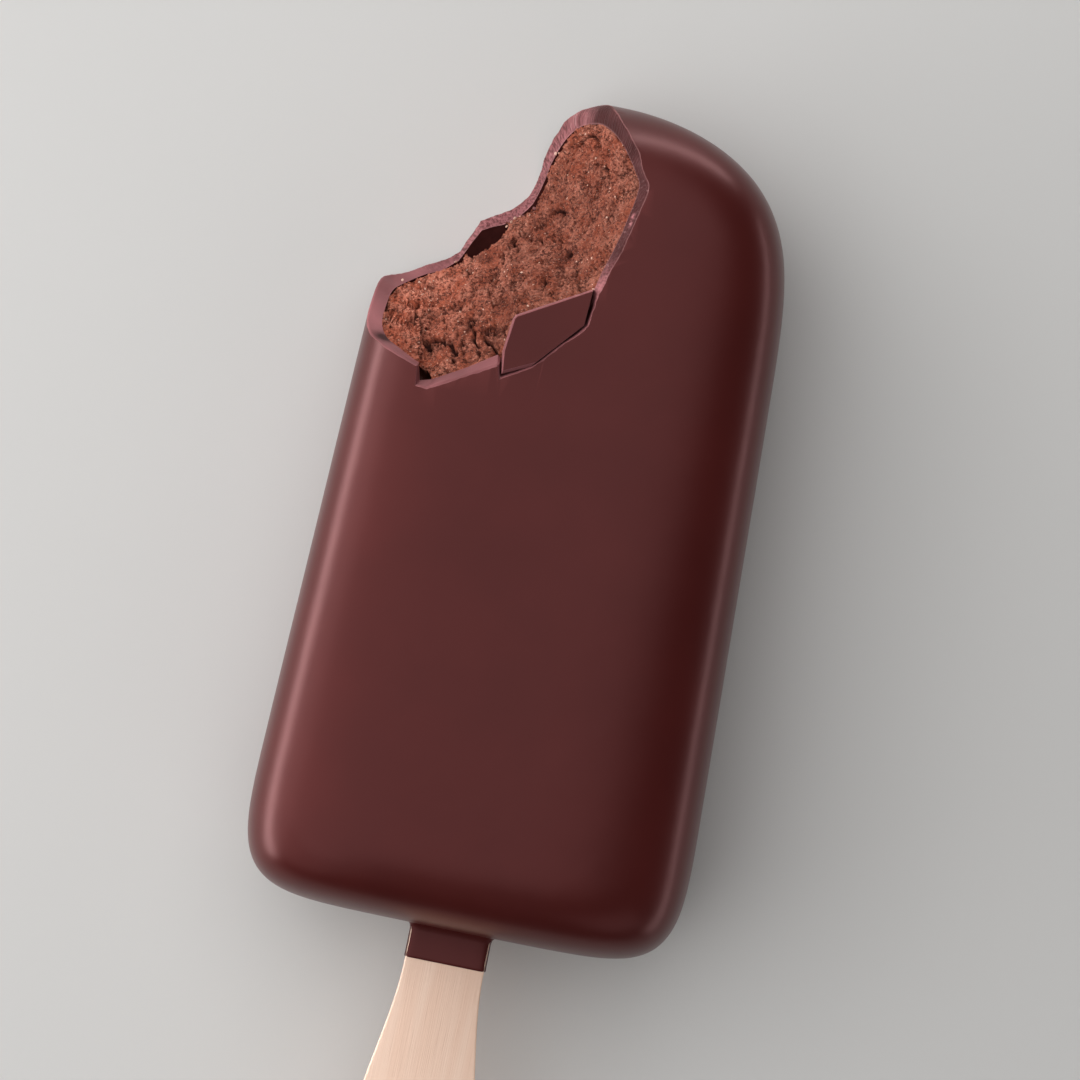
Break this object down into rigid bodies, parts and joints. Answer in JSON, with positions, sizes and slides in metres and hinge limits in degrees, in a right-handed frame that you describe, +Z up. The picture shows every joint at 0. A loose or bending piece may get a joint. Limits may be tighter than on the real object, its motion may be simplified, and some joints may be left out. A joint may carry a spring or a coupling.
{
  "type": "ice cream bar",
  "caption": "Bitten chocolate ice cream bar in a thin dark chocolate coating, on a flat wooden stick, lying on its back.",
  "frame": {"origin": "centre of the bar and its stick seen from above, on the surface that the bar lies on", "axes": "+Z up out of the broad front face, +Y along the stick towards the rounded top, +X to the right seen from above"},
  "size_m": [0.047, 0.1368, 0.0245],
  "materials": {
    "dark_chocolate": "smooth dark chocolate with a soft satin shine",
    "chocolate_ice_cream": "rough torn chocolate ice cream with fine ice crystals",
    "birch": "pale unfinished birch with a fine lengthwise grain"
  },
  "bodies": {
    "root": {"coating": "dark_chocolate", "coating_shard": "dark_chocolate", "ice_cream": "chocolate_ice_cream", "stick": "birch"}
  },
  "joints": []
}
